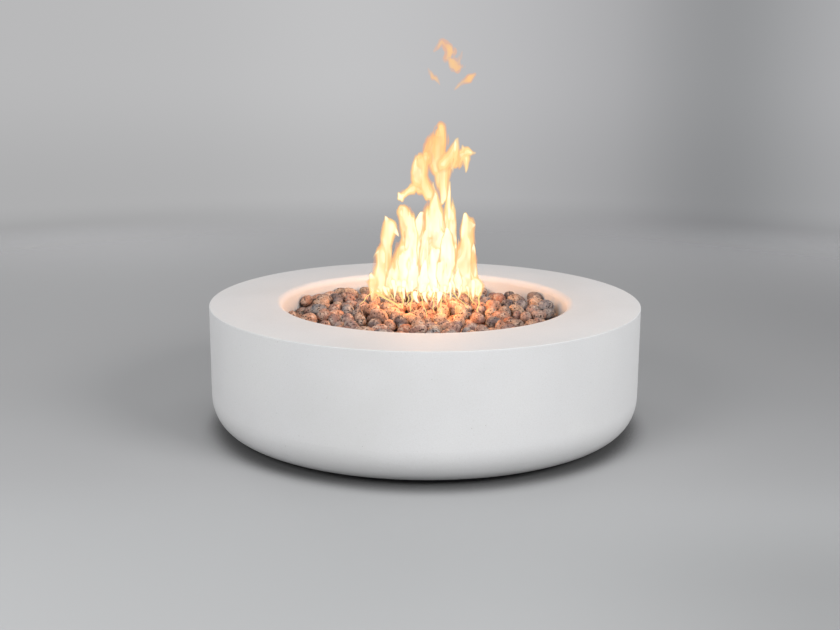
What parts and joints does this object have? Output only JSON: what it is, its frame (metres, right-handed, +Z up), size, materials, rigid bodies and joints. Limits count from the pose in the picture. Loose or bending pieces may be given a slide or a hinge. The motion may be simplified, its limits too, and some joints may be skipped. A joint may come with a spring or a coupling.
{
  "type": "gas fire pit",
  "caption": "Round floor-standing concrete gas fire pit: flat rim, stone-filled burner well, ring burner, and an access door at the back over its valves.",
  "frame": {"origin": "on the floor, under the centre of the round casing", "axes": "+Z up along the casing's axis, -Y to the front, +Y to the back with the access door and the gas inlet, +X to the right seen from the front"},
  "size_m": [1.1998, 1.2, 0.35],
  "materials": {
    "concrete": "matte",
    "brass": "satin",
    "black_coated_steel": "satin",
    "zinc_steel": "satin",
    "stainless": "satin",
    "rubber": "matte",
    "nylon": "matte",
    "die_cast": "matte",
    "black_plastic": "satin",
    "chrome": "polished",
    "red_coated_steel": "satin",
    "copper": "satin",
    "ceramic": "gloss",
    "lead_sleeve": "satin",
    "lava": "matte",
    "lava_base": "matte"
  },
  "bodies": {
    "casing": {"air_mixer": "stainless", "burner_elbow": "stainless", "burner_feet": "stainless", "burner_hose": "stainless", "burner_locknuts": "stainless", "burner_nipple": "stainless", "burner_pan": "stainless", "concrete_casing": "concrete", "control_box": "black_coated_steel", "control_box_rivets": "zinc_steel", "control_valve": "die_cast", "door_frame": "black_coated_steel", "door_frame_screws": "zinc_steel", "foot_inserts": "brass", "gas_orifice": "brass", "heat_shield": "zinc_steel", "hose_nuts": "brass", "igniter_module": "black_plastic", "igniter_nut": "chrome", "ignition_lead": "lead_sleeve", "inlet_bracket": "black_coated_steel", "inlet_bracket_screws": "zinc_steel", "inlet_fitting": "brass", "inlet_locknut": "zinc_steel", "lava_granules": "lava_base", "lava_stones": "lava", "lead_clip": "nylon", "link_pipe": "copper", "magnet_catches": "nylon", "pilot_bracket": "stainless", "pilot_burner": "brass", "pilot_hood": "stainless", "pilot_tube": "copper", "pivot_pins": "stainless", "pivot_washers": "nylon", "plinth_pads": "rubber", "plinth_ring": "black_coated_steel", "plinth_screws": "zinc_steel", "ring_burner": "stainless", "shutoff_valve": "brass", "spark_electrode": "ceramic", "supply_elbow": "brass", "supply_pipe": "zinc_steel", "thermocouple": "copper", "thermocouple_lead": "copper", "valve_locknut": "zinc_steel"},
    "door": {"door_panel": "concrete", "door_backing": "black_coated_steel", "backing_screws": "zinc_steel", "pivot_bushes": "brass"},
    "push_rod": {"valve_push_rod": "stainless"},
    "knob": {"valve_spindle": "stainless", "valve_knob": "black_plastic"},
    "igniter_button": {"igniter_button": "black_plastic"},
    "shutoff": {"shutoff_plug": "brass", "shutoff_lever": "red_coated_steel", "shutoff_lever_nut": "zinc_steel"}
  },
  "joints": [
    {"name": "door_swing", "type": "hinge", "parent": "casing", "child": "door", "pos_m": [-0.112, 0.57998, 0.196], "axis": [0, 0, 1], "range_deg": [0, 100]},
    {"name": "knob_push", "type": "slide", "parent": "casing", "child": "push_rod", "axis": [0, -1, 0], "range_m": [0, 0.0045], "stiffness_N_per_m": 1200, "springref_m": -0.002},
    {"name": "knob_turn", "type": "hinge", "parent": "push_rod", "child": "knob", "pos_m": [-0.066, 0.466, 0.186], "axis": [0, 1, 0], "range_deg": [0, 180]},
    {"name": "igniter_press", "type": "slide", "parent": "casing", "child": "igniter_button", "axis": [0, -1, 0], "range_m": [0, 0.005], "stiffness_N_per_m": 900, "springref_m": -0.002},
    {"name": "shutoff_turn", "type": "hinge", "parent": "casing", "child": "shutoff", "pos_m": [0, 0.466, 0.18], "axis": [0, 1, 0], "range_deg": [0, 90]}
  ]
}
